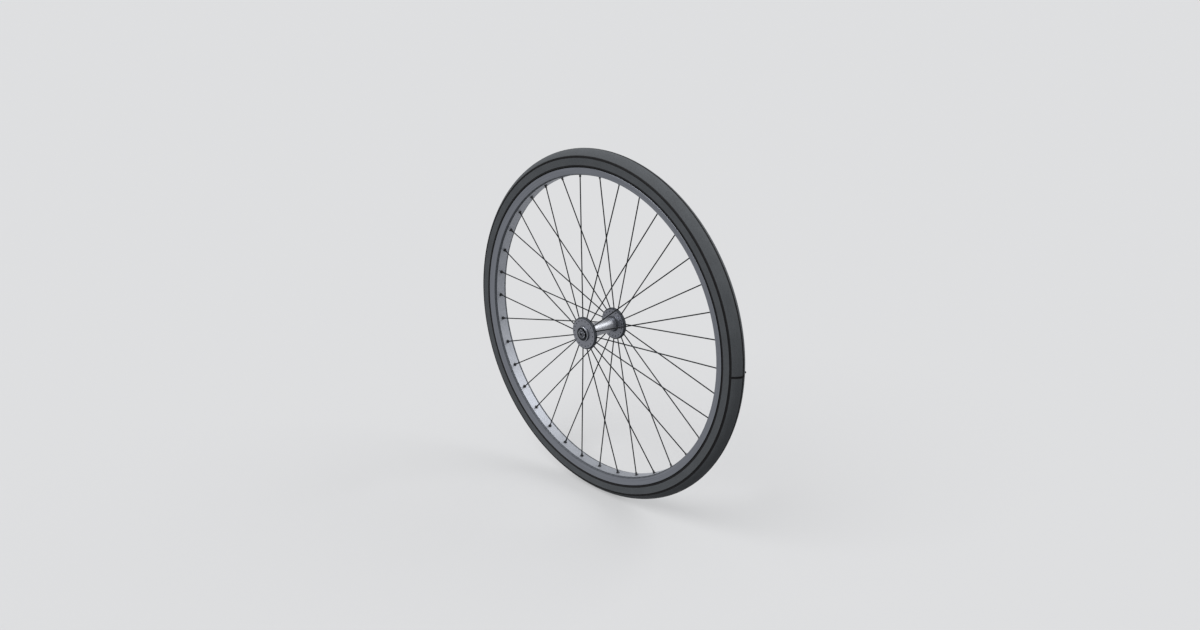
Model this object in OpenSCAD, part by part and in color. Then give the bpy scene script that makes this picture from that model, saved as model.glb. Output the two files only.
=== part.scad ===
// Bicycle wheel with an airless tyre, a rolled steel rim, radial spokes and a high-flange hub.
// The axle lies along Y with the wheel's centre at the origin, and +Z is up.
// The wheel rolls towards +X, so -Y is its right-hand side and +Y its left-hand side.

/* [Tyre] */
// Height of the shoulder grooves above the rim's edge
sidewall_h = 19.9; // [14:0.1:26]
// How far the shoulder grooves stand out past the rim's edge
shoulder_out = 0.8; // [0.4:0.1:5]
// Height of the tread's crown above the shoulder grooves
crown_h = 14.6; // [11:0.1:20]
// Height of each tread half's arc above its chord
tread_bulge = 2.6; // [1.5:0.1:3.4]
// Width of the shoulder grooves
shoulder_groove_w = 2; // [1:0.1:2.6]
// Depth of the shoulder grooves
shoulder_groove_d = 1.1; // [0.5:0.1:1.5]
// Width of the groove along the crown
crown_groove_w = 1.8; // [0.8:0.1:2.4]
// Depth of the groove along the crown
crown_groove_d = 0.9; // [0.4:0.1:1.4]
// Width of the open butt splice across the tread
splice_w = 2; // [1:0.1:3]
// Depth of the open butt splice
splice_d = 1.6; // [0.8:0.1:2]
// How far the lip at the splice's end stands proud of the shoulder
splice_lip_h = 2.4; // [1:0.1:3]

/* [Rim] */
// Radius of the rim's spoke bed on the hub's side
rim_bed_r = 302; // [180:0.5:380]
// Half the width of the flat spoke bed
rim_bed_half_w = 10.4; // [8.5:0.1:14]
// Width of the notched band beside the spoke bed
rim_band_w = 5.2; // [4:0.1:7]
// Rise of the notched band from the spoke bed to the flank
rim_band_rise = 2; // [1.6:0.1:2.6]
// Depth of the rim from its spoke bed to its outer edge
rim_depth = 15; // [12:0.1:20]
// How far the rim's edge stands out past the notched band
rim_flare = 2.9; // [2.2:0.1:4]
// Thickness of the rolled steel strip
rim_wall = 1.8; // [1.4:0.1:2.2]
// Notches pressed around each band
band_notches = 128; // [32:1:160]
// Width of a notch along the rim
notch_w = 1.5; // [0.8:0.1:2]
// Depth of a notch
notch_d = 0.45; // [0.2:0.05:0.6]

/* [Spokes] */
// Spokes in the wheel, half of them on each flange
spoke_count = 36; // [36]
// Spoke diameter
spoke_d = 2.34; // [1.8:0.02:2.9]
// Radius of the spoke's hooked foot in the flange, to the wire's centre
elbow_r = 2; // [1.6:0.1:2.4]
// Wall of the nipple's barrel around the spoke
nipple_wall = 0.81; // [0.6:0.01:1.1]
// Length of nipple that shows on the hub's side of the eyelet
nipple_reach = 4.6; // [3.5:0.1:9]
// How far the nipple's head overlaps the rim of the eyelet's bore
nipple_head_w = 0.27; // [0.2:0.01:0.6]
// Height of the nipple's head
nipple_head_h = 1.9; // [1.5:0.1:2.3]
// How far the eyelet's flange stands out around its hole
eyelet_flange_w = 0.6; // [0.4:0.05:1.2]
// Thickness of the eyelet's flange
eyelet_flange_t = 0.8; // [0.5:0.1:1.2]

/* [Hub shell] */
// Distance from a locknut's face in to the outer face of its flange
flange_inset = 6; // [4.8:0.1:12]
// Thickness of a flange
flange_t = 7.6; // [6.2:0.1:9.4]
// Radius of a flange
flange_r = 32; // [26:0.5:40]
// How far the flange's bevels run in from its edge
flange_bevel_r = 2.5; // [1:0.1:4]
// How much of the flange's thickness each bevel takes
flange_bevel_w = 2; // [0.8:0.1:2.4]
// Distance of the spokes' hooked feet from the flange's edge
foot_inset = 6.7; // [5:0.1:8]
// Thickness of the barrel's wall outside the bearing cups
barrel_wall = 1.54; // [1.2:0.01:4]
// Radius of the fillet between barrel and flange
barrel_fillet = 3; // [1:0.5:5]
// Thickness of the bearing boss around its dust cap
boss_wall = 1.84; // [1.2:0.01:4]
// Radius of the hub's inner bore
hub_bore_r = 8.6; // [7.1:0.1:10.4]

/* [Bearings and axle] */
// Distance over the locknuts, which the fork's ends grip
over_locknuts = 100; // [74:0.5:145]
// Diameter of the axle
axle_d = 10; // [8.4:0.1:12]
// Diameter of the hole through the axle for a quick-release skewer
skewer_bore_d = 5.1; // [4.2:0.05:6.2]
// How far the axle stands out of each locknut
axle_proud = 0.8; // [0.6:0.1:6]
// Diameter of a bearing ball
ball_d = 4.76; // [3.96:0.01:5.72]
// Least gap between neighbouring balls, which sets how many balls a bearing holds
ball_spacing = 0.5; // [0.4:0.05:1]
// Wall of the cone under its balls
cone_wall = 1.14; // [0.9:0.01:1.6]
// Width of the round locknut's serrated collar around the axle
locknut_collar_w = 3.8; // [3.1:0.1:4.6]
// Locknut's size across its wrench flats
locknut_af = 15; // [14:0.5:18]

/* [Hidden] */
$fn = 96;
// Clearance of pressed, threaded and seated fits within one rigid group
seat_gap = 0.02;
// Clearance between pieces that lie loosely on each other
rest_gap = 0.05;
// Clearance between a ball and its races
ball_gap = 0.08;

sides = [-1, 1];
side_names = ["right", "left"];

// Rim and tyre radii and half widths, built up from the spoke bed
rim_edge_r = rim_bed_r + rim_depth;
rim_band_half_w = rim_bed_half_w + rim_band_w;
rim_edge_half_w = rim_band_half_w + rim_flare;
shoulder_r = rim_edge_r + sidewall_h;
shoulder_half_w = rim_edge_half_w + shoulder_out;
tyre_crown_r = shoulder_r + crown_h;

spoke_r = spoke_d / 2;
spoke_step = 360 / spoke_count;
first_spoke_angle = 100;

// Hub stations, measured from the wheel's middle plane outwards
locknut_out = over_locknuts / 2;
flange_out = locknut_out - flange_inset;
flange_in = flange_out - flange_t;
flange_mid = (flange_in + flange_out) / 2;
foot_circle_r = flange_r - foot_inset;
foot_recess = 0.1;
locknut_collar_t = 1.6;
locknut_t = 4.2;
locknut_in = locknut_out - locknut_t;
boss_end = locknut_out - 2;
washer_t = 1.2;
washer_in = locknut_in - washer_t;
cap_recess = 0.6;
cap_t = 0.8;
cap_out = boss_end - cap_recess;
cup_wall = 0.9;
axle_r = axle_d / 2;
race_r = ball_d / 2 + ball_gap;
ball_circle_r = axle_r + cone_wall + race_r;
ball_count = floor(180 / asin((ball_d + ball_spacing) / 2 / ball_circle_r));
cup_r = ball_circle_r + race_r + cup_wall;
cone_body_t = 2.1;
ball_plane = washer_in - cone_body_t - race_r;
cup_floor_t = 1.2;
pocket_floor = ball_plane - race_r - cup_floor_t;
cup_out = ball_plane + race_r + 1.14;
cup_hole_r = ball_circle_r - 1.6;
cone_nose = race_r - 0.16;
axle_end = locknut_out + axle_proud;
locknut_r = axle_r + locknut_collar_w;
locknut_corner_r = locknut_af / 2 / cos(30);
cap_hole_r = max(locknut_r, locknut_corner_r, ball_circle_r) + 0.5;
cap_seat_r = max(cup_r, cap_hole_r + 1.2) + 0.8;
cap_seat_y = boss_end - 2;
barrel_r = cup_r + barrel_wall;
boss_r = cap_seat_r + boss_wall;
edge_chamfer = 0.5;
axle_chamfer = 0.4;
washer_r = axle_r + 2.8;
key_w = 1.8;
key_d = 0.9;
cone_flats = axle_d + 4;
cone_flats_t = 1.4;
cage_t = 0.7;
cage_in_r = ball_circle_r + 1;
cage_out_r = ball_circle_r + race_r - 0.26;
cage_ring_in = ball_d / 2 - 0.13;
cage_finger = 1;
cage_finger_w = 1.6;

// Rim channel
rim_lip_r = 0.7;
channel_floor_r = rim_bed_r + rim_wall;
channel_corner_w = rim_bed_half_w - 0.35;
channel_shoulder_r = rim_bed_r + rim_band_rise + rim_wall;
channel_shoulder_w = rim_band_half_w - rim_wall - 0.1;
channel_top_r = rim_edge_r - 1.4;
channel_top_w = rim_edge_half_w - rim_wall;
rim_lip_in_w = channel_top_w - 0.2;
notch_end_gap = 0.3;

// Eyelets and nipples: the eyelet's bore leaves room for the nipple to lean with its spoke
eyelet_top_t = 0.6;
eyelet_in = rim_bed_r - rest_gap - eyelet_flange_t;
eyelet_out = channel_floor_r + rest_gap + eyelet_top_t;
nipple_bore_r = spoke_r + seat_gap;
nipple_r = nipple_bore_r + nipple_wall;
spoke_lean = atan2(flange_mid, rim_bed_r - flange_r);
nipple_gap = 0.1;
eyelet_bore_r = nipple_r / cos(spoke_lean) + (eyelet_out - rim_bed_r) * tan(spoke_lean) + nipple_gap;
nipple_head_r = eyelet_bore_r + nipple_head_w;
eyelet_wall = 0.45;
hole_r = eyelet_bore_r + eyelet_wall + seat_gap;
eyelet_top_r = hole_r + 0.8;
nipple_seat = eyelet_out - rim_bed_r + 0.15;
nipple_cone = 0.8;
nipple_flats = 2 * nipple_bore_r + 0.92;
nipple_flats_len = 3.6;
spoke_end_gap = 0.4;
// The wire is a little thicker in its bend, and its straight ends run a little way into it
bend_upset = 0.06;
bend_overlap = 0.3;

// Tyre foot
foot_gap = 0.05;
foot_r = channel_floor_r + foot_gap;
foot_relief_half_w = nipple_head_r + 2.4;
foot_relief_r = eyelet_out + nipple_head_h + 1.2;
tyre_seat_r = rim_edge_r + 0.9;
tyre_seat_w = rim_edge_half_w - 0.9;
sidewall_r = tyre_seat_r + 1;
sidewall_half_w = rim_edge_half_w + 0.05;
// Splice lip: a cone that starts inside the shoulder and leans out at 45 degrees
splice_lip_lean = 45;
splice_lip_in = 2;
splice_lip_foot_r = 4.2;
splice_lip_tip_r = 0.8;

// Points of an arc from angle a0 to a1 about c, in n steps
function arc(c, r, a0, a1, n = 12) =
    [for (k = [0 : n]) c + r * [cos(a0 + (a1 - a0) * k / n), sin(a0 + (a1 - a0) * k / n)]];

// A half section [radius, offset] and its mirror image as one closed outline
function mirrored(half) =
    concat(half, [for (k = [len(half) - 1 : -1 : 0]) [half[k][0], -half[k][1]]]);

// Turns a section drawn as [radius, offset along the axle] about the Y axis
module turned() {
    rotate([-90, 0, 0]) rotate_extrude($fn = 180) children();
}

// Places a piece on one side of the hub: s = -1 is the right, s = 1 the left
module on_side(s) {
    if (s < 0) mirror([0, 1, 0]) children();
    else children();
}

// Turns a piece drawn along +X to the angle a about the axle, counted from +X up to +Z
module at_angle(a) {
    rotate([0, -a, 0]) children();
}

// A rod along +Y from y0 to y1
module rod(r, y0, y1) {
    translate([0, y0, 0]) rotate([-90, 0, 0]) cylinder(r = r, h = y1 - y0);
}

// A rod along +X from x0 to x1, with its two end radii
module radial_rod(r0, x0, x1, r1 = undef) {
    translate([x0, 0, 0]) rotate([0, 90, 0])
        cylinder(r1 = r0, r2 = is_undef(r1) ? r0 : r1, h = x1 - x0);
}

/* ---- Tyre: one moulded ring of cellular rubber that fills the rim's channel ---- */

// Arc of one tread half, from the shoulder to the crown and dropped by depth
function tread_arc(depth = 0, n = 10) =
    let (
        a = [shoulder_r, shoulder_half_w],
        b = [tyre_crown_r, 0],
        chord = norm(b - a),
        out = [a[1] - b[1], b[0] - a[0]] / chord,
        r = (chord * chord / 4 + tread_bulge * tread_bulge) / (2 * tread_bulge),
        c = (a + b) / 2 + out * (tread_bulge - r)
    )
    [for (p = arc(c, r, atan2(a[1] - c[1], a[0] - c[0]), atan2(b[1] - c[1], b[0] - c[0]), n))
        p - [depth, 0]];

module tyre_section() {
    polygon(mirrored(concat(
        [[foot_relief_r, foot_relief_half_w],
         [foot_r, foot_relief_half_w],
         [foot_r, channel_corner_w - foot_gap],
         [channel_shoulder_r + foot_gap, channel_shoulder_w - foot_gap],
         [channel_top_r - 0.6, rim_lip_in_w - 0.8],
         [channel_top_r - 0.2, rim_lip_in_w - 0.35],
         [rim_edge_r + 0.3, rim_lip_in_w - 0.35],
         [tyre_seat_r, tyre_seat_w],
         [sidewall_r, sidewall_half_w]],
        tread_arc()
    )));
}

// The grooves along both shoulders and along the crown, as round-bottomed channels
module tread_grooves() {
    for (s = sides)
        turned() translate([shoulder_r, s * (shoulder_half_w + shoulder_groove_w / 2 - shoulder_groove_d)])
            circle(d = shoulder_groove_w, $fn = 32);
    turned() translate([tyre_crown_r + crown_groove_w / 2 - crown_groove_d, 0])
        circle(d = crown_groove_w, $fn = 32);
}

// The open butt splice: a slit across the tread at +X, as deep as splice_d all the way over
module splice_slit() {
    intersection() {
        turned() difference() {
            translate([shoulder_r, -shoulder_half_w])
                square([2 * (tyre_crown_r - shoulder_r), 2 * shoulder_half_w]);
            polygon(mirrored(concat([[shoulder_r - splice_d, shoulder_half_w + 1]], tread_arc(splice_d))));
        }
        translate([0, -shoulder_half_w, -splice_w / 2])
            cube([2 * tyre_crown_r, 2 * shoulder_half_w, splice_w]);
    }
}

// The lip pinched up at the slit's left end, as a low cone that leans out over the shoulder
module splice_lip() {
    translate([shoulder_r + splice_lip_in, 0, 0] + [0, shoulder_half_w - splice_lip_in, 0])
        rotate([0, 0, -splice_lip_lean]) rotate([-90, 0, 0])
            cylinder(r1 = splice_lip_foot_r, r2 = splice_lip_tip_r, h = splice_lip_in + splice_lip_h);
}

module tyre() {
    color("#4a4b4e") {
        difference() {
            union() {
                turned() tyre_section();
                splice_lip();
            }
            tread_grooves();
            splice_slit();
        }
    }
}

/* ---- Rim: one strip of steel rolled to a channel, with notched bands and pierced for spokes ---- */

module rim_section() {
    polygon(mirrored(concat(
        [[channel_floor_r, channel_corner_w],
         [channel_shoulder_r, channel_shoulder_w],
         [channel_top_r - 0.8, channel_top_w - 0.2],
         [channel_top_r, rim_lip_in_w - 0.3]],
        arc([rim_edge_r - rim_lip_r, rim_lip_in_w + 0.4], rim_lip_r, 180, 60, 4),
        arc([rim_edge_r - rim_lip_r, rim_edge_half_w - rim_lip_r], rim_lip_r, 45, 90, 3),
        [[rim_bed_r + rim_band_rise, rim_band_half_w],
         [rim_bed_r, rim_bed_half_w]]
    )));
}

// One notch in the band on the left side, as a shallow bar laid along the band's slope
module band_notch() {
    band_w = rim_band_half_w - rim_bed_half_w;
    band_len = norm([band_w, rim_band_rise]);
    translate([rim_bed_r, rim_bed_half_w, 0]) rotate([0, 0, -atan2(rim_band_rise, band_w)])
        translate([-notch_d, notch_end_gap, -notch_w / 2])
            cube([2 * notch_d, band_len - 2 * notch_end_gap, notch_w]);
}

module rim() {
    color("#8c9097")
    difference() {
        turned() rim_section();
        for (i = [0 : spoke_count - 1])
            at_angle(spoke_angle(i + 1)) radial_rod(hole_r, rim_bed_r - 2, channel_floor_r + 2);
        for (s = sides, k = [0 : band_notches - 1])
            on_side(s) at_angle((k + 0.5) * 360 / band_notches) band_notch();
    }
}

/* ---- Spokes: wires hooked into the flange's cast metal, with a nipple at the rim ---- */

// Spokes stand spoke_step apart; odd ones go to the right flange, even ones to the left
function spoke_name(i) = str("spoke_", i < 10 ? "0" : "", i);
function spoke_angle(i) = first_spoke_angle + (i - 1) * spoke_step;
function spoke_side(i) = i % 2 == 1 ? -1 : 1;

// The shank runs straight from the middle of the flange's edge to the middle of the spoke bed.
// Seen along the rim it leans towards the wheel's middle plane.
function lean(i) = -spoke_side(i) * spoke_lean;

// All hooked feet face the right and end just inside that face of their flange
function foot_y(i) = spoke_side(i) < 0 ? -flange_out + foot_recess : flange_in + foot_recess;

// Where the shank meets the foot's bend, in the plane through the spoke and the axle
function bend_end(i) =
    let (x = foot_circle_r + elbow_r * (1 - sin(lean(i))))
    [x, spoke_side(i) * flange_mid + (x - flange_r) * tan(lean(i))];

// One spoke's wire, thicker all round by grow, with its foot drawn out by reach
module spoke_wire(i, shank, grow = 0, reach = 0) {
    start = bend_end(i);
    bend_y = start[1] - elbow_r * cos(lean(i));
    at_angle(spoke_angle(i)) {
        translate([foot_circle_r, 0, 0])
            rod(spoke_r + grow, foot_y(i) - reach, bend_y + bend_overlap);
        translate([foot_circle_r + elbow_r, bend_y, 0])
            rotate([0, 0, 90 + lean(i)]) rotate_extrude(angle = 90 - lean(i))
                translate([elbow_r, 0]) circle(r = spoke_r + bend_upset + grow);
        translate([start[0], start[1], 0]) rotate([0, 0, lean(i)])
            radial_rod(spoke_r + grow, -bend_overlap, shank);
    }
}

module spoke(i) {
    color("#55585e")
    spoke_wire(i, (rim_bed_r - bend_end(i)[0]) / cos(spoke_lean) + nipple_seat + nipple_head_h - spoke_end_gap);
}

// A nipple's own frame: along the spoke, from where it crosses the spoke bed
module at_nipple(i) {
    at_angle(spoke_angle(i)) translate([rim_bed_r, 0, 0]) rotate([0, 0, lean(i)]) children();
}

module spoke_nipple() {
    tail = eyelet_flange_t + rest_gap + nipple_reach;
    difference() {
        union() {
            radial_rod(nipple_r, nipple_flats_len - tail, nipple_seat);
            intersection() {
                radial_rod(nipple_r, -tail, nipple_flats_len - tail);
                translate([-tail, -nipple_flats / 2, -nipple_flats / 2])
                    cube([nipple_flats_len, nipple_flats, nipple_flats]);
            }
            radial_rod(nipple_r, nipple_seat, nipple_seat + nipple_cone, nipple_head_r);
            radial_rod(nipple_head_r, nipple_seat + nipple_cone, nipple_seat + nipple_head_h);
        }
        radial_rod(nipple_bore_r, -tail - 1, nipple_seat + nipple_head_h + 1);
    }
}

module spoke_nipples() {
    color("#1d1e20")
    for (i = [1 : spoke_count]) at_nipple(i) spoke_nipple();
}

// Pressed eyelets that line the rim's holes, each with a flange on the hub's side
module rim_eyelets() {
    color("#1d1e20")
    for (i = [1 : spoke_count])
        at_angle(spoke_angle(i))
            difference() {
                union() {
                    radial_rod(hole_r + eyelet_flange_w, eyelet_in, eyelet_in + eyelet_flange_t);
                    radial_rod(hole_r - seat_gap, eyelet_in, eyelet_out);
                    radial_rod(eyelet_top_r, eyelet_out - eyelet_top_t, eyelet_out);
                }
                radial_rod(eyelet_bore_r, eyelet_in - 1, eyelet_out + 1);
            }
}

/* ---- Hub shell: aluminium cast round the spokes' feet, then turned: barrel, two flanges, two bosses ---- */

module hub_shell_section() {
    polygon(mirrored(concat(
        [[hub_bore_r, pocket_floor],
         [cup_r, pocket_floor],
         [cup_r, cap_seat_y],
         [cap_seat_r, cap_seat_y],
         [cap_seat_r, boss_end],
         [boss_r - edge_chamfer, boss_end],
         [boss_r, boss_end - edge_chamfer],
         [boss_r, flange_out + edge_chamfer],
         [boss_r + edge_chamfer, flange_out],
         [flange_r - flange_bevel_r, flange_out],
         [flange_r, flange_out - flange_bevel_w],
         [flange_r, flange_in + flange_bevel_w],
         [flange_r - flange_bevel_r, flange_in]],
        arc([barrel_r + barrel_fillet, flange_in - barrel_fillet], barrel_fillet, 90, 180, 6)
    )));
}

module hub_shell() {
    color("#9a9da3")
    difference() {
        turned() hub_shell_section();
        for (i = [1 : spoke_count])
            spoke_wire(i, 2 * foot_inset, rest_gap, 1);
    }
}

/* ---- Bearings: pressed cups, screwed cones, caged balls and pressed dust caps ---- */

module cup() {
    color("#8a8c90")
    turned() polygon(concat(
        [[cup_hole_r, pocket_floor],
         [cup_r - seat_gap, pocket_floor],
         [cup_r - seat_gap, cup_out],
         [cup_r - cup_wall, cup_out]],
        arc([ball_circle_r, ball_plane], race_r, 0, -90),
        [[cup_hole_r, ball_plane - race_r]]
    ));
}

module dust_cap() {
    color("#6b6e74")
    turned() polygon([
        [cap_hole_r, cap_out - cap_t],
        [cap_seat_r - seat_gap - cap_t, cap_out - cap_t],
        [cap_seat_r - seat_gap - cap_t, cap_seat_y],
        [cap_seat_r - seat_gap, cap_seat_y],
        [cap_seat_r - seat_gap, cap_out],
        [cap_hole_r, cap_out]
    ]);
}

module cone() {
    color("#8a8c90")
    difference() {
        turned() polygon(concat(
            [[axle_r + seat_gap, ball_plane - cone_nose],
             [ball_circle_r - race_r, ball_plane - cone_nose]],
            arc([ball_circle_r, ball_plane], race_r, 180, 90),
            [[ball_circle_r, washer_in],
             [axle_r + seat_gap, washer_in]]
        ));
        for (s = sides)
            translate([-10, washer_in - cone_flats_t, s > 0 ? cone_flats / 2 : -cone_flats / 2 - 10])
                cube([20, 10, 10]);
    }
}

module bearing_balls() {
    color("#c9cbcf")
    for (k = [0 : ball_count - 1])
        at_angle((k + 0.5) * 360 / ball_count)
            translate([ball_circle_r, ball_plane, 0]) sphere(d = ball_d);
}

// A stamped ring outside the balls, with one finger between each two of them
module ball_cage() {
    color("#77797d") {
        rod_ring(cage_in_r, cage_out_r, ball_plane + cage_ring_in, ball_plane + cage_ring_in + cage_t);
        for (k = [0 : ball_count - 1])
            at_angle(k * 360 / ball_count)
                translate([cage_out_r - cage_t - 0.2, ball_plane - cage_finger, -cage_finger_w / 2])
                    cube([cage_t, cage_finger + cage_ring_in + cage_t / 2, cage_finger_w]);
    }
}

module rod_ring(r_in, r_out, y0, y1) {
    difference() {
        rod(r_out, y0, y1);
        rod(r_in, y0 - 1, y1 + 1);
    }
}

/* ---- Axle: a hollow threaded axle with keyed washers and locknuts ---- */

module axle() {
    color("#7d8085")
    difference() {
        turned() polygon(mirrored([
            [skewer_bore_d / 2, axle_end],
            [axle_r - axle_chamfer, axle_end],
            [axle_r, axle_end - axle_chamfer]
        ]));
        for (s = sides)
            on_side(s) translate([axle_r - key_d, washer_in - key_w, -key_w / 2])
                cube([2 * key_d, washer_t + 2 * key_w, key_w]);
    }
}

module keyed_washer() {
    color("#a5a7ab") {
        rod_ring(axle_r + rest_gap, washer_r, washer_in + seat_gap, locknut_in - seat_gap);
        translate([axle_r - key_d + rest_gap, washer_in + seat_gap, -key_w / 2 + rest_gap])
            cube([key_d + 0.5, washer_t - 2 * seat_gap, key_w - 2 * rest_gap]);
    }
}

module locknut() {
    color("#8a8c90")
    difference() {
        union() {
            translate([0, locknut_in, 0]) rotate([-90, 0, 0])
                cylinder(r = locknut_corner_r, h = locknut_t - locknut_collar_t, $fn = 6);
            rod(locknut_r, locknut_out - locknut_collar_t, locknut_out);
        }
        rod(axle_r + seat_gap, locknut_in - 1, locknut_out + 1);
    }
}

tyre();
rim();
rim_eyelets();
spoke_nipples();
for (i = [1 : spoke_count])
    spoke(i);
hub_shell();
axle();
for (s = sides) {
    side = s < 0 ? "right" : "left";
    on_side(s) cup();
    on_side(s) dust_cap();
    on_side(s) cone();
    on_side(s) keyed_washer();
    on_side(s) locknut();
    on_side(s) bearing_balls();
    on_side(s) ball_cage();
}
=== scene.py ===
import math

import bmesh
import bpy
from mathutils import Matrix, Vector


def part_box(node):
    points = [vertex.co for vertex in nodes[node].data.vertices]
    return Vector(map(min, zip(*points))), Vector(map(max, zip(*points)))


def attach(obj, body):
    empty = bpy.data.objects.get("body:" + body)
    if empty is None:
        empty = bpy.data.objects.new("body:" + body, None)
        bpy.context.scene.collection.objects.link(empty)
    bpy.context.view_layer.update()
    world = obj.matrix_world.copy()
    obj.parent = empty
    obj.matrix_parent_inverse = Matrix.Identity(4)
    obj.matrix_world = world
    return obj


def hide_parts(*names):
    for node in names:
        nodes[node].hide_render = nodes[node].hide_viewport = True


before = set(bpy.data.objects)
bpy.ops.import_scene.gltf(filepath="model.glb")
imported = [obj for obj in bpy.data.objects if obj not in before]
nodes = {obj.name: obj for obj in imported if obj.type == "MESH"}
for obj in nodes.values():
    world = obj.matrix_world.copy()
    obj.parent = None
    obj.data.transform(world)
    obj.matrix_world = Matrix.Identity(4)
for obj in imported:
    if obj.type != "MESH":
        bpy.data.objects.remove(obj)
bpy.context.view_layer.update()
mm = 0.001

# ---- Tyre ----
# An airless tyre: one moulded strip of cellular rubber, closed to a ring and seated in the rim with no
# tube or valve. Its ends meet at +X, where an open butt splice crosses the tread.
# The skin is matt and finely pitted. Its grooves, its seat at the rim and the splice's slit are painted
# near-black as shade, a little wider than the grooves, and the splice's lip is bare black rubber.


def srgb(code):
    """A hex sRGB colour as the linear values that Blender's sockets take."""
    parts = [int(code[i:i + 2], 16) / 255 for i in (1, 3, 5)]
    return [c / 12.92 if c <= 0.04045 else ((c + 0.055) / 1.055) ** 2.4 for c in parts] + [1.0]


def add(tree, kind, links=None, **settings):
    """Adds a node with its settings. A link's value is a socket to join or a constant to set."""
    made = tree.nodes.new("ShaderNode" + kind)
    for name, value in settings.items():
        setattr(made, name, value)
    for name, value in (links or {}).items():
        socket = made.inputs[name]
        if isinstance(value, bpy.types.NodeSocket):
            tree.links.new(value, socket)
        else:
            socket.default_value = value
    return made


def start_finish(name):
    """An empty material with its shader, and the wheel's own coordinates in metres."""
    finish = bpy.data.materials.new(name)
    finish.use_nodes = True
    tree = finish.node_tree
    shader = tree.nodes["Principled BSDF"]
    place = add(tree, "TexCoord").outputs["Object"]
    axes = add(tree, "SeparateXYZ", {"Vector": place}).outputs
    flat = add(tree, "CombineXYZ", {"X": axes["X"], "Z": axes["Z"]}).outputs["Vector"]
    radius = add(tree, "VectorMath", {0: flat}, operation="LENGTH").outputs["Value"]
    spin = add(tree, "VectorMath", {0: flat}, operation="NORMALIZE").outputs["Vector"]
    return finish, tree, shader, place, axes, radius, spin


def wear_finish(node_names, finish):
    """Puts one finish on every face of the named CAD nodes."""
    for node_name in node_names:
        mesh = nodes[node_name].data
        mesh.materials.clear()
        mesh.materials.append(finish)


# Moulded cellular rubber: dull dark grey, with pits 2 mm apart, fine grain and a cloudy bloom. The pits'
# middles are painted darker as shade.
rubber, tree, shader, place, axes, radius, spin = start_finish("moulded_cellular_rubber")
bloom = add(tree, "TexNoise", {"Vector": place, "Scale": 1 / (30 * mm), "Detail": 4.0}).outputs["Fac"]
pits = add(tree, "TexVoronoi", {"Vector": place, "Scale": 1 / (2 * mm)}).outputs["Distance"]
grain = add(tree, "TexNoise", {"Vector": place, "Scale": 1 / (0.5 * mm), "Detail": 3.0}).outputs["Fac"]
skin = add(tree, "ValToRGB", {"Fac": bloom})
skin.color_ramp.elements[0].position = 0.3
skin.color_ramp.elements[0].color = srgb("#414447")
skin.color_ramp.elements[1].position = 0.7
skin.color_ramp.elements[1].color = srgb("#4b4e51")
mottle = add(tree, "MapRange", {"Value": grain, "From Min": 0.35, "From Max": 0.65,
                                "To Max": 0.5}).outputs["Result"]
skin = add(tree, "Mix", {"Factor": mottle, "A": skin.outputs["Color"], "B": srgb("#393b3e")},
           data_type="RGBA")
# Painted shade: each pit is coloured darker towards its middle, where the bump sinks deepest.
pit_shade = add(tree, "MapRange", {"Value": pits, "From Min": 0.1, "From Max": 0.45,
                                "To Min": 0.55, "To Max": 0.0}).outputs["Result"]
skin = add(tree, "Mix", {"Factor": pit_shade, "A": skin.outputs["Result"], "B": srgb("#2e3032")},
           data_type="RGBA")
tree.links.new(skin.outputs["Result"], shader.inputs["Base Color"])
gloss = add(tree, "MapRange", {"Value": bloom, "From Min": 0.3, "From Max": 0.7,
                               "To Min": 0.68, "To Max": 0.84}).outputs["Result"]
tree.links.new(gloss, shader.inputs["Roughness"])
shader.inputs["Specular IOR Level"].default_value = 0.25
shader.inputs["IOR"].default_value = 1.52
height = add(tree, "Math", {0: pits, 1: grain}, operation="ADD").outputs["Value"]
bump = add(tree, "Bump", {"Height": height, "Strength": 0.4, "Distance": 0.3 * mm})
tree.links.new(bump.outputs["Normal"], shader.inputs["Normal"])

# Nearly black rubber: painted shade in the grooves, in the seat at the rim and in the splice's slit, and the
# bare rubber of the splice's lip. None of it has the bloom.
bare_and_groove_shade, tree, shader, place, axes, radius, spin = start_finish("bare_rubber_and_groove_shade")
grain = add(tree, "TexNoise", {"Vector": place, "Scale": 1 / (0.5 * mm), "Detail": 3.0}).outputs["Fac"]
skin = add(tree, "ValToRGB", {"Fac": grain})
skin.color_ramp.elements[0].position = 0.3
skin.color_ramp.elements[0].color = srgb("#060607")
skin.color_ramp.elements[1].position = 0.7
skin.color_ramp.elements[1].color = srgb("#101012")
tree.links.new(skin.outputs["Color"], shader.inputs["Base Color"])
gloss = add(tree, "MapRange", {"Value": grain, "To Min": 0.6, "To Max": 0.8}).outputs["Result"]
tree.links.new(gloss, shader.inputs["Roughness"])
shader.inputs["Specular IOR Level"].default_value = 0.2
shader.inputs["IOR"].default_value = 1.52
bump = add(tree, "Bump", {"Height": grain, "Strength": 0.3, "Distance": 0.1 * mm})
tree.links.new(bump.outputs["Normal"], shader.inputs["Normal"])

# The section in mm as (depth below the crown, offset), from the foot in the rim's channel up to the shoulder.
# The grooves take the crest off the crown and a hair off each shoulder, so the box is that much smaller.
tyre_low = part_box("tyre")[0]
tread_rise = 14.6
crown_crest = 0.24
shoulder_hair = 0.04
crown = Vector((-tyre_low.x / mm + crown_crest, 0.0))
shoulder = Vector((crown.x - tread_rise, -tyre_low.y / mm + shoulder_hair))
seat_depth = 29.9
foot = (
    (43.95, 5.16), (47.65, 5.16), (47.65, 10.0), (45.65, 13.65),
    (36.5, 15.7), (36.1, 16.15), (34.2, 16.15))
wall = ((33.6, 17.6), (32.6, 18.55), (seat_depth, 18.66), (16.7, 19.21))


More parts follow.
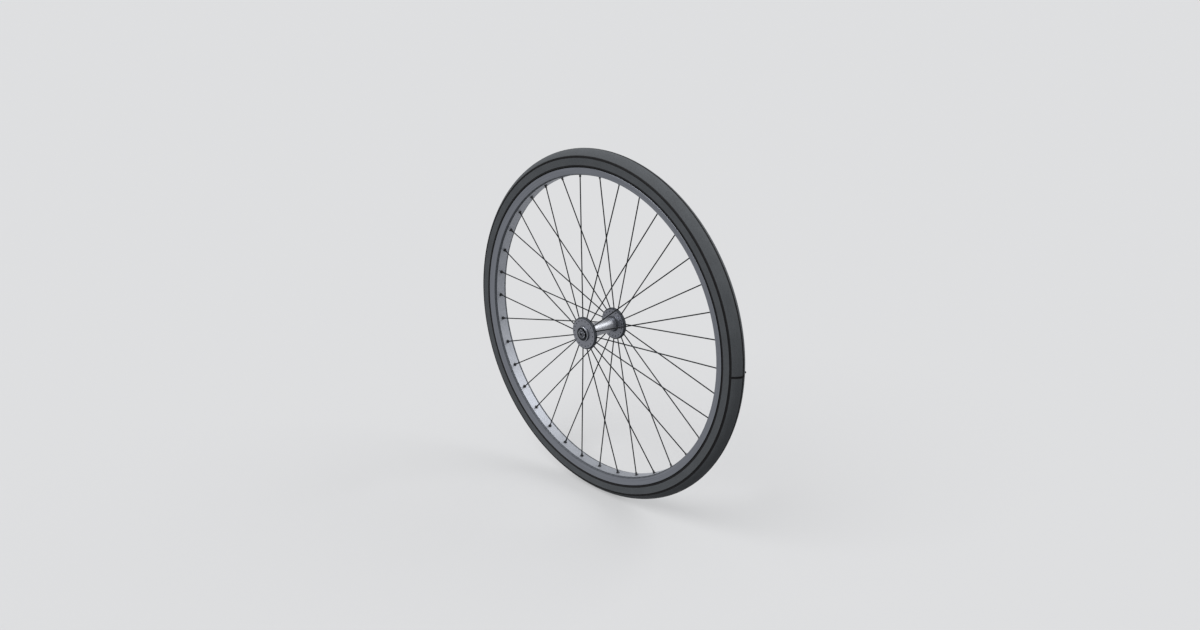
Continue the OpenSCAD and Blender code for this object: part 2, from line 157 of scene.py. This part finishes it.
def arc(middle, r, start, end, steps):
    """Points of an arc from one angle to another, in degrees."""
    turns = [math.radians(start + (end - start) * k / steps) for k in range(steps + 1)]
    return [Vector((middle.x + r * math.cos(t), middle.y + r * math.sin(t))) for t in turns]


def bearing(middle, point):
    """The angle at which a point stands from the middle of an arc, in degrees."""
    return math.degrees(math.atan2(point.y - middle.y, point.x - middle.x))


# Each tread half is one arc that bulges 2.6 mm above its chord, between the round-bottomed grooves
tread_bulge = 2.6
chord = (crown - shoulder).length
tread_r = (chord ** 2 / 4 + tread_bulge ** 2) / (2 * tread_bulge)
outwards = Vector((shoulder.y - crown.y, crown.x - shoulder.x)) / chord
tread_middle = (shoulder + crown) / 2 + outwards * (tread_bulge - tread_r)
shoulder_groove = Vector((shoulder.x, shoulder.y - 0.1))
shoulder_groove_r = 1.0
shoulder_groove_turns = (176.6, 336.4)
crown_groove_r = 0.9
crown_groove_turns = (105.5, 180.0)
half = [Vector((crown.x - depth, offset)) for depth, offset in foot + wall]
half += arc(shoulder_groove, shoulder_groove_r, *shoulder_groove_turns, 12)
tread = arc(tread_middle, tread_r, bearing(tread_middle, shoulder), bearing(tread_middle, crown), 26)
clear_of_shoulder = 1.2
clear_of_crown = 1.0
half += [p for p in tread if (p - shoulder).length > clear_of_shoulder and p.y > clear_of_crown]
half += arc(crown, crown_groove_r, *crown_groove_turns, 6)
section = half + [Vector((p.x, -p.y)) for p in half[-2::-1]]
rows = len(section)

# The splice's slit is cut 1.6 mm deep and 2 mm wide across the tread, and no deeper than the shoulder
slit_depth = 1.6
slit_half_w = 1.0
slit_edge = 1.1


def slit_floor(point):
    """Where a point of the skin goes in the slit. Points below the shoulder stay."""
    if point.x < shoulder.x:
        return point
    offset = min(abs(point.y), shoulder_groove.y - shoulder_groove_r)
    arc_top = tread_middle.x + math.sqrt(tread_r ** 2 - (offset - tread_middle.y) ** 2)
    return Vector((max(arc_top - slit_depth, shoulder.x), math.copysign(offset, point.y)))


# The strip is closed to a ring at +X, where the columns on each side of the slit stand close together
dropped = [slit_floor(p) for p in section]
slit_turn = math.degrees(slit_half_w / shoulder.x)
edge_turn = math.degrees((slit_half_w + slit_edge) / shoulder.x)
columns = [(slit_turn, dropped), (slit_turn, section), (edge_turn, section)]
columns += [(float(turn), section) for turn in range(1, 360)]
columns += [(-edge_turn, section), (-slit_turn, section), (-slit_turn, dropped)]
# Painted shade: faces below the seat, bands a little wider than the grooves, and the tread faces at the slit
# take the near-black rubber.
seat_shade_r = crown.x - seat_depth
shoulder_shade_w = 2.1
crown_shade_w = 1.4
strip = bmesh.new()
ring = []
for turn, outline in columns:
    along = Vector((math.cos(math.radians(turn)), 0.0, math.sin(math.radians(turn)))) * mm
    ring.append([strip.verts.new(along * p.x + Vector((0.0, p.y * mm, 0.0))) for p in outline])
for count, column in enumerate(ring):
    following = ring[(count + 1) % len(ring)]
    at_slit = count < 2 or count > len(ring) - 4
    for row in range(rows):
        after = (row + 1) % rows
        middle = (section[row] + section[after]) / 2
        on_tread = middle.x > shoulder.x
        grooved = abs(middle.x - shoulder.x) < shoulder_shade_w or on_tread and abs(middle.y) < crown_shade_w
        shaded_face = middle.x < seat_shade_r or grooved or on_tread and at_slit
        face = strip.faces.new((column[row], column[after], following[after], following[row]))
        face.material_index = int(shaded_face)
        face.smooth = True
bmesh.ops.remove_doubles(strip, verts=strip.verts, dist=0.001 * mm)

# The lip pinched up at the slit's left end, as (radius, height) in mm, leans out over the shoulder at
# 45 degrees. It starts inside the rubber, and the slit splits its foot as far out as the shoulder.
lip_profile = ((4.2, 0.0), (3.35, 1.1), (2.5, 2.2), (1.65, 3.3), (1.0, 4.15), (0.8, 4.32), (0.5, 4.4))
lip_steps = 32
lip_in = 2.0
lip_stand = Matrix.Translation(Vector((shoulder.x + lip_in, shoulder.y - lip_in, 0.0)) * mm)
lip_stand @= Vector((1.0, 1.0, 0.0)).to_track_quat("Z", "Y").to_matrix().to_4x4()
lip_turns = [2 * math.pi * k / lip_steps for k in range(lip_steps)]
lip_rings = [Vector((r * math.cos(t), r * math.sin(t), h)) * mm for r, h in lip_profile for t in lip_turns]
lip_points = [lip_stand @ p for p in lip_rings]
lip_faces = [tuple(range(lip_steps))[::-1], tuple(range(len(lip_points) - lip_steps, len(lip_points)))]
for level in range(len(lip_profile) - 1):
    for k in range(lip_steps):
        here, there = level * lip_steps + k, level * lip_steps + (k + 1) % lip_steps
        lip_faces.append((here, there, there + lip_steps, here + lip_steps))
lip_mesh = bpy.data.meshes.new("splice_lip")
lip_mesh.from_pydata(lip_points, [], lip_faces)
lip = bpy.data.objects.new("splice_lip", lip_mesh)
bpy.context.scene.collection.objects.link(lip)
knife_mesh = bpy.data.meshes.new("slit_knife")
knife_middle = Vector((shoulder.x, shoulder.y / 2, 0.0)) * mm
knife_reach = 20.0
knife_size = Vector((knife_reach, shoulder.y, 2 * slit_half_w)) * mm
knife_shape = bmesh.new()
bmesh.ops.create_cube(knife_shape, matrix=Matrix.LocRotScale(knife_middle, None, knife_size))
knife_shape.to_mesh(knife_mesh)
knife_shape.free()
knife = bpy.data.objects.new("slit_knife", knife_mesh)
bpy.context.scene.collection.objects.link(knife)
split = lip.modifiers.new("split", "BOOLEAN")
split.operation = "DIFFERENCE"
split.object = knife
bpy.context.view_layer.update()
split_lip = bpy.data.meshes.new_from_object(lip.evaluated_get(bpy.context.evaluated_depsgraph_get()))
for face in split_lip.polygons:
    face.material_index = 1
    face.use_smooth = True
strip.from_mesh(split_lip)
for spent in (lip, knife):
    bpy.data.objects.remove(spent)

bmesh.ops.recalc_face_normals(strip, faces=strip.faces)
tyre_mesh = bpy.data.meshes.new("cellular_tyre")
strip.to_mesh(tyre_mesh)
strip.free()
sharp_from = 35
tyre_mesh.set_sharp_from_angle(angle=math.radians(sharp_from))
tyre_mesh.materials.append(rubber)
tyre_mesh.materials.append(bare_and_groove_shade)
tyre = bpy.data.objects.new("cellular_tyre", tyre_mesh)
bpy.context.scene.collection.objects.link(tyre)
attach(tyre, "wheel")
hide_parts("tyre")

# ---- Rim ----
# One strip of steel rolled to a channel section, with a row of notches pressed along each band.
# The rolls burnish the flanks and leave fine lines round the wheel. The spoke bed is blasted to a fine grain,
# and it is coloured lighter than the flanks as a painted highlight.
# The notched bands between them are coloured darker, and duller.


def zone(tree, *spans):
    """1 where every span's value lies within reach of its middle. A span is (value, middle, reach)."""
    mask = None
    for value, middle, reach in spans:
        inside = add(tree, "Math", {0: value, 1: middle, 2: reach}, operation="COMPARE").outputs["Value"]
        both = {0: inside, 1: 1.0 if mask is None else mask}
        mask = add(tree, "Math", both, operation="MULTIPLY").outputs["Value"]
    return mask


rim_edge_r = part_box("rim")[1].z
bed_depth = 15 * mm
band_offset = 13 * mm
steel, tree, shader, place, axes, radius, spin = start_finish("rolled_zinc_plated_steel")
around = add(tree, "VectorMath", {0: spin, 1: (3, 3, 3)}, operation="MULTIPLY").outputs["Vector"]
turn = add(tree, "SeparateXYZ", {"Vector": around}).outputs
across = add(tree, "Math", {0: radius, 1: 1 / (0.8 * mm)}, operation="MULTIPLY").outputs["Value"]
side = add(tree, "Math", {0: axes["Y"], 1: 1 / (0.8 * mm)}, operation="MULTIPLY").outputs["Value"]
lay = add(tree, "CombineXYZ", {"X": turn["X"], "Y": turn["Z"], "Z": across}).outputs["Vector"]
lines = add(tree, "TexNoise", {"Vector": lay, "W": side, "Scale": 1.0, "Detail": 4.0},
            noise_dimensions="4D").outputs["Fac"]
cloud = add(tree, "TexNoise", {"Vector": place, "Scale": 1 / (25 * mm), "Detail": 3.0}).outputs["Fac"]
tone = add(tree, "ValToRGB", {"Fac": lines})
tone.color_ramp.elements[0].position = 0.3
tone.color_ramp.elements[0].color = srgb("#70737a")
tone.color_ramp.elements[1].position = 0.7
tone.color_ramp.elements[1].color = srgb("#85888f")
off_middle = add(tree, "Math", {0: axes["Y"]}, operation="ABSOLUTE").outputs["Value"]
rim_bed_r = rim_edge_r - bed_depth
notched = zone(tree, (off_middle, band_offset, 2.6 * mm), (radius, rim_bed_r + 1 * mm, 2 * mm))
bed = zone(tree, (off_middle, 0.0, 10.4 * mm), (radius, rim_bed_r, 1 * mm))
sand = add(tree, "TexNoise", {"Vector": place, "Scale": 1 / (0.9 * mm), "Detail": 2.0}).outputs["Fac"]
# Painted highlight: the spoke bed's lighter tone stands in for the back lamp's light along it. The sand grain
# is its real texture.
bed_highlight_tone = add(tree, "ValToRGB", {"Fac": sand})
bed_highlight_tone.color_ramp.elements[0].position = 0.35
bed_highlight_tone.color_ramp.elements[0].color = srgb("#8f9299")
bed_highlight_tone.color_ramp.elements[1].position = 0.65
bed_highlight_tone.color_ramp.elements[1].color = srgb("#a9acb2")
band_tone = add(tree, "ValToRGB", {"Fac": sand})
band_tone.color_ramp.elements[0].position = 0.35
band_tone.color_ramp.elements[0].color = srgb("#4a4d51")
band_tone.color_ramp.elements[1].position = 0.65
band_tone.color_ramp.elements[1].color = srgb("#676a70")
skin = add(tree, "Mix", {"Factor": notched, "A": tone.outputs["Color"], "B": band_tone.outputs["Color"]},
           data_type="RGBA")
skin = add(tree, "Mix", {"Factor": bed, "A": skin.outputs["Result"], "B": bed_highlight_tone.outputs["Color"]},
           data_type="RGBA")
tree.links.new(skin.outputs["Result"], shader.inputs["Base Color"])
shader.inputs["Metallic"].default_value = 1.0
gloss = add(tree, "MapRange", {"Value": cloud, "To Min": 0.38, "To Max": 0.5}).outputs["Result"]
gloss = add(tree, "Mix", {"Factor": notched, "A": gloss, "B": 0.7}).outputs["Result"]
gloss = add(tree, "Mix", {"Factor": bed, "A": gloss, "B": 0.6}).outputs["Result"]
tree.links.new(gloss, shader.inputs["Roughness"])
bump = add(tree, "Bump", {"Height": lines, "Strength": 0.12, "Distance": 0.08 * mm})
tree.links.new(bump.outputs["Normal"], shader.inputs["Normal"])
wear_finish(["rim"], steel)

# ---- Eyelets and nipples ----
# Pressed eyelets line the rim's holes, and brass nipples stand in them and screw onto the spokes.
# Both are chemically blackened: a thin matt skin that is rubbed a little glossy in patches.

black, tree, shader, place, axes, radius, spin = start_finish("blackened_brass")
mottle = add(tree, "TexNoise", {"Vector": place, "Scale": 1 / (1.5 * mm), "Detail": 3.0}).outputs["Fac"]
tone = add(tree, "ValToRGB", {"Fac": mottle})
tone.color_ramp.elements[0].position = 0.3
tone.color_ramp.elements[0].color = srgb("#151618")
tone.color_ramp.elements[1].position = 0.7
tone.color_ramp.elements[1].color = srgb("#26272a")
tree.links.new(tone.outputs["Color"], shader.inputs["Base Color"])
gloss = add(tree, "MapRange", {"Value": mottle, "To Min": 0.35, "To Max": 0.55}).outputs["Result"]
tree.links.new(gloss, shader.inputs["Roughness"])
bump = add(tree, "Bump", {"Height": mottle, "Strength": 0.15, "Distance": 0.1 * mm})
tree.links.new(bump.outputs["Normal"], shader.inputs["Normal"])
wear_finish(["rim_eyelets", "spoke_nipples"], black)

# ---- Spokes ----
# Thirty-six lengths of drawn steel wire, plated black, each hooked at its foot and straight to the rim.
# The drawing die leaves faint lines along the wire, 0.4 mm apart, drawn coarser than real to show.

wire, tree, shader, place, axes, radius, spin = start_finish("drawn_black_plated_steel")
spoke_step = math.radians(10)
hub_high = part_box("hub_shell")[1]
flange_r = hub_high.z
flange_mid = 40.2 * mm
angle = add(tree, "Math", {0: axes["Z"], 1: axes["X"]}, operation="ARCTAN2").outputs["Value"]
angle = add(tree, "Math", {0: angle, 1: spoke_step / 2, 2: -spoke_step / 2},
            operation="WRAP").outputs["Value"]
sideways = add(tree, "Math", {0: angle, 1: radius}, operation="MULTIPLY").outputs["Value"]
off_middle = add(tree, "Math", {0: axes["Y"]}, operation="ABSOLUTE").outputs["Value"]
leaning = add(tree, "MapRange", {"Value": radius, "From Min": flange_r, "From Max": rim_bed_r,
                                 "To Min": flange_mid, "To Max": 0.0}).outputs["Result"]
level = add(tree, "Math", {0: off_middle, 1: leaning}, operation="SUBTRACT").outputs["Value"]
along = add(tree, "Math", {0: radius, 1: 0.01}, operation="MULTIPLY").outputs["Value"]
drawn = add(tree, "CombineXYZ", {"X": sideways, "Y": level, "Z": along}).outputs["Vector"]
streak = add(tree, "TexNoise", {"Vector": drawn, "Scale": 1 / (0.4 * mm), "Detail": 2.0}).outputs["Fac"]
tone = add(tree, "ValToRGB", {"Fac": streak})
tone.color_ramp.elements[0].position = 0.3
tone.color_ramp.elements[0].color = srgb("#111213")
tone.color_ramp.elements[1].position = 0.7
tone.color_ramp.elements[1].color = srgb("#2c2e31")
tree.links.new(tone.outputs["Color"], shader.inputs["Base Color"])
shader.inputs["Metallic"].default_value = 1.0
gloss = add(tree, "MapRange", {"Value": streak, "To Min": 0.32, "To Max": 0.5}).outputs["Result"]
tree.links.new(gloss, shader.inputs["Roughness"])
bump = add(tree, "Bump", {"Height": streak, "Strength": 0.15, "Distance": 0.05 * mm})
tree.links.new(bump.outputs["Normal"], shader.inputs["Normal"])
wear_finish([n for n in nodes if n.startswith("spoke_") and n != "spoke_nipples"], wire)

# ---- Hub shell ----
# One piece of aluminium cast round the spokes' feet: a barrel, two high flanges and two bearing bosses.
# The flanges' faces are turned and satin, with the tool's fine rings. The barrel and bosses are polished, and
# their lighter tone is painted sheen.
# The flanges' bevels and edges keep the cast skin, darker and pitted at about 0.8 mm. The same dark colour is
# painted as shade into the barrel's fillets and as rings round the bosses' feet and mouths.

alloy, tree, shader, place, axes, radius, spin = start_finish("cast_and_turned_aluminium")
path = add(tree, "Math", {0: radius, 1: axes["Y"]}, operation="ADD").outputs["Value"]
rings = add(tree, "TexNoise", {"W": path, "Scale": 1 / (0.7 * mm), "Detail": 3.0},
            noise_dimensions="1D").outputs["Fac"]
tone = add(tree, "ValToRGB", {"Fac": rings})
tone.color_ramp.elements[0].position = 0.3
tone.color_ramp.elements[0].color = srgb("#7b7d84")
tone.color_ramp.elements[1].position = 0.7
tone.color_ramp.elements[1].color = srgb("#898b92")
pits = add(tree, "TexNoise", {"Vector": place, "Scale": 1 / (0.8 * mm), "Detail": 3.0}).outputs["Fac"]
cast_and_shade_tone = add(tree, "ValToRGB", {"Fac": pits})
cast_and_shade_tone.color_ramp.elements[0].position = 0.35
cast_and_shade_tone.color_ramp.elements[0].color = srgb("#1b1c1e")
cast_and_shade_tone.color_ramp.elements[1].position = 0.55
cast_and_shade_tone.color_ramp.elements[1].color = srgb("#515459")
off_middle = add(tree, "Math", {0: axes["Y"]}, operation="ABSOLUTE").outputs["Value"]
boss_r = 14.6 * mm
flange_face = 44 * mm
barrel = zone(tree, (off_middle, 0.0, 33.6 * mm))
boss = zone(tree, (off_middle, hub_high.y, hub_high.y - flange_face - 0.3 * mm))
barrel_and_boss_sheen = add(tree, "Math", {0: barrel, 1: boss}, operation="MAXIMUM").outputs["Value"]
cast_skin_and_shade = zone(tree, (radius, flange_r, 2.7 * mm))
# Painted shade: the fillets at the barrel's ends and thin rings at each boss's foot and mouth get the dark
# cast-skin colour.
fillet_shade = zone(tree, (off_middle, 35.2 * mm, 1.6 * mm), (radius, boss_r, 1.4 * mm))
boss_foot_shade = zone(tree, (off_middle, flange_face, 0.6 * mm), (radius, boss_r, 0.9 * mm))
boss_mouth_shade = zone(tree, (boss, 1.0, 0.5), (radius, boss_r - 1.7 * mm, 0.7 * mm))
for corner in (fillet_shade, boss_foot_shade, boss_mouth_shade):
    cast_skin_and_shade = add(tree, "Math", {0: cast_skin_and_shade, 1: corner}, operation="MAXIMUM").outputs["Value"]
# Painted sheen: the barrel and bosses are coloured lighter than the turned faces.
tone = add(tree, "Mix", {"Factor": barrel_and_boss_sheen, "A": tone.outputs["Color"], "B": srgb("#94969b")},
           data_type="RGBA")
tone = add(tree, "Mix", {"Factor": cast_skin_and_shade, "A": tone.outputs["Result"], "B": cast_and_shade_tone.outputs["Color"]},
           data_type="RGBA")
tree.links.new(tone.outputs["Result"], shader.inputs["Base Color"])
shader.inputs["Metallic"].default_value = 1.0
smooth = add(tree, "Mix", {"Factor": barrel_and_boss_sheen, "A": 0.42, "B": 0.43}).outputs["Result"]
smooth = add(tree, "Mix", {"Factor": cast_skin_and_shade, "A": smooth, "B": 0.75}).outputs["Result"]
tree.links.new(smooth, shader.inputs["Roughness"])
rough = add(tree, "Mix", {"Factor": cast_skin_and_shade, "A": rings, "B": pits}).outputs["Result"]
bump = add(tree, "Bump", {"Height": rough, "Strength": 0.2, "Distance": 0.1 * mm})
tree.links.new(bump.outputs["Normal"], shader.inputs["Normal"])
wear_finish(["hub_shell"], alloy)

# ---- Bearings ----
# Pressed cups, screwed cones and caged balls of hardened bearing steel, ground and left oily.

ground, tree, shader, place, axes, radius, spin = start_finish("ground_bearing_steel")
film = add(tree, "TexNoise", {"Vector": place, "Scale": 1 / (2 * mm), "Detail": 3.0}).outputs["Fac"]
tone = add(tree, "ValToRGB", {"Fac": film})
tone.color_ramp.elements[0].color = srgb("#85878c")
tone.color_ramp.elements[1].color = srgb("#a4a6aa")
tree.links.new(tone.outputs["Color"], shader.inputs["Base Color"])
shader.inputs["Metallic"].default_value = 1.0
gloss = add(tree, "MapRange", {"Value": film, "To Min": 0.16, "To Max": 0.3}).outputs["Result"]
tree.links.new(gloss, shader.inputs["Roughness"])
bump = add(tree, "Bump", {"Height": film, "Strength": 0.08, "Distance": 0.05 * mm})
tree.links.new(bump.outputs["Normal"], shader.inputs["Normal"])
both = ("right", "left")
wear_finish([p + s for p in ("cup_", "cone_", "bearing_balls_", "ball_cage_") for s in both], ground)

# ---- Axle, washers and dust caps ----
# A hollow threaded axle with keyed washers, under pressed dust caps, all of steel with dark plating.
# The dust caps' rings and a thin ring round the axle's thread, where it meets the locknut, are painted darker
# as shade in their recesses.

plated, tree, shader, place, axes, radius, spin = start_finish("dark_plated_turned_steel")
film = add(tree, "TexNoise", {"Vector": place, "Scale": 1 / (1.2 * mm), "Detail": 3.0}).outputs["Fac"]
tone = add(tree, "ValToRGB", {"Fac": film})
tone.color_ramp.elements[0].position = 0.3
tone.color_ramp.elements[0].color = srgb("#56585d")
tone.color_ramp.elements[1].position = 0.7
tone.color_ramp.elements[1].color = srgb("#73757b")
# Painted shade: the dust caps' rings and the ring at the axle's thread take a near-black tone.
ring_shade = zone(tree, (radius, 11.1 * mm, 1.9 * mm))
thread_shade = zone(tree, (radius, 5.2 * mm, 0.4 * mm))
ring_shade = add(tree, "Math", {0: ring_shade, 1: thread_shade}, operation="MAXIMUM").outputs["Value"]
tone = add(tree, "Mix", {"Factor": ring_shade, "A": tone.outputs["Color"], "B": srgb("#2d2f33")},
           data_type="RGBA")
tree.links.new(tone.outputs["Result"], shader.inputs["Base Color"])
shader.inputs["Metallic"].default_value = 1.0
gloss = add(tree, "MapRange", {"Value": film, "To Min": 0.28, "To Max": 0.45}).outputs["Result"]
tree.links.new(gloss, shader.inputs["Roughness"])
bump = add(tree, "Bump", {"Height": film, "Strength": 0.1, "Distance": 0.1 * mm})
tree.links.new(bump.outputs["Normal"], shader.inputs["Normal"])
wear_finish([p + s for p in ("dust_cap_", "keyed_washer_") for s in both] + ["axle"], plated)

# ---- Locknuts ----
# A steel nut at each end of the axle: a hexagon for the spanner under a round collar.
# The collar's face has 36 radial teeth, rolled in, that bite into the fork's end.

teeth = 36
steps = 4 * teeth
nut_bore = 5.02 * mm
nut_edge = 8.8 * mm
nut_flat = 7.5 * mm
collar_thick = 1.6 * mm
tooth_depth = (0.0, 0.2, 0.4, 0.2)


def hexagon(turn):
    """The nut's radius over its flats at one angle, with a corner at +X."""
    return nut_flat / math.cos(turn % math.radians(60) - math.radians(30))


for side_name, side_sign in (("right", -1), ("left", 1)):
    nut_low, nut_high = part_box("locknut_" + side_name)
    inner, outer = sorted((abs(nut_low.y), abs(nut_high.y)))
    collar = outer - collar_thick
    points = []
    for step in range(steps):
        turn = step * 2 * math.pi / steps
        cut = tooth_depth[step % 4] * mm
        flats = hexagon(turn)
        outline = (
            (nut_bore, inner), (nut_bore, outer - 0.4 * mm), (nut_bore + 0.4 * mm, outer - 0.1 * mm),
            (6.0 * mm, outer - 0.1 * mm), (6.2 * mm, outer - 0.1 * mm - 0.6 * cut), (8.4 * mm, outer - cut),
            (nut_edge, outer - 0.3 * mm - cut), (nut_edge, collar + 0.15 * mm),
            (nut_edge - 0.15 * mm, collar),
            (flats, collar), (flats, inner + 0.3 * mm), (flats - 0.3 * mm, inner))
        points += [(r * math.cos(turn), side_sign * y, r * math.sin(turn)) for r, y in outline]
    rows = len(outline)
    faces = []
    for step in range(steps):
        here, there = step * rows, (step + 1) % steps * rows
        for row in range(rows):
            after = (row + 1) % rows
            faces.append((here + row, here + after, there + after, there + row)[::side_sign])
    nut_mesh = bpy.data.meshes.new("serrated_locknut_" + side_name)
    nut_mesh.from_pydata(points, [], faces)
    nut_mesh.update()
    nut_mesh.materials.append(plated)
    nut = bpy.data.objects.new("serrated_locknut_" + side_name, nut_mesh)
    bpy.context.scene.collection.objects.link(nut)
    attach(nut, "axle_set")
    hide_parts("locknut_" + side_name)

# ---- Floor, light and camera ----
# A plain pale floor that runs out of sight, under an even white sky.
# One broad lamp stands high behind the camera's left, and one behind the wheel shines along the rim's bed.

pale = srgb("#e1e2e3")
floor_z = tyre_low.z
floor_mesh = bpy.data.meshes.new("floor")
reach = 60.0
corners = [
    (-reach, -reach, floor_z), (reach, -reach, floor_z),
    (reach, reach, floor_z), (-reach, reach, floor_z)]
floor_mesh.from_pydata(corners, [], [(0, 1, 2, 3)])
floor = bpy.data.objects.new("floor", floor_mesh)
bpy.context.scene.collection.objects.link(floor)
paper = bpy.data.materials.new("matt_pale_floor")
paper.use_nodes = True
tree = paper.node_tree
shader = tree.nodes["Principled BSDF"]
ray = add(tree, "LightPath").outputs
seen = add(tree, "Math", {0: ray["Is Camera Ray"], 1: ray["Is Glossy Ray"]},
           operation="MAXIMUM").outputs["Value"]
seen = add(tree, "Math", {0: seen, 1: ray["Is Transmission Ray"]},
           operation="MAXIMUM").outputs["Value"]
shade = add(tree, "Mix", {"Factor": seen, "A": srgb("#505051"), "B": srgb("#7b7b7c")}, data_type="RGBA")
tree.links.new(shade.outputs["Result"], shader.inputs["Base Color"])
shader.inputs["Roughness"].default_value = 1.0
shader.inputs["Specular IOR Level"].default_value = 0.0
shader.inputs["Emission Color"].default_value = pale
glow = add(tree, "Math", {0: seen, 1: 0.5}, operation="MULTIPLY").outputs["Value"]
tree.links.new(glow, shader.inputs["Emission Strength"])
floor_mesh.materials.append(paper)

sky = bpy.data.worlds.new("even_sky")
bpy.context.scene.world = sky
sky.use_nodes = True
background = sky.node_tree.nodes["Background"]
background.inputs["Color"].default_value = pale
background.inputs["Strength"].default_value = 1.0

for lamp_name, energy, spread, direction in (
        ("front_lamp", 2.7, 40, (-0.15, -0.60, 0.79)),
        ("back_lamp", 1.8, 40, (0.38, 0.67, 0.64))):
    lamp_data = bpy.data.lights.new(lamp_name, "SUN")
    lamp_data.energy = energy
    lamp_data.angle = math.radians(spread)
    lamp = bpy.data.objects.new(lamp_name, lamp_data)
    lamp.rotation_euler = Vector(direction).to_track_quat("Z", "Y").to_euler()
    bpy.context.scene.collection.objects.link(lamp)

camera_data = bpy.data.cameras.new("camera")
sensor_w = 36.0
frame_w = 1200
focal_length = 1005.61
camera_data.sensor_width = sensor_w
camera_data.lens = sensor_w * focal_length / frame_w
camera_data.clip_end = 200.0
camera = bpy.data.objects.new("camera", camera_data)
camera.location = (1.31227, -1.31139, 0.66975)
towards = Vector((0.66813, -0.66820, 0.32727))
camera.rotation_euler = towards.to_track_quat("Z", "Y").to_euler()
bpy.context.scene.collection.objects.link(camera)
bpy.context.scene.camera = camera
bpy.context.scene.view_settings.view_transform = "Standard"

bpy.context.view_layer.update()
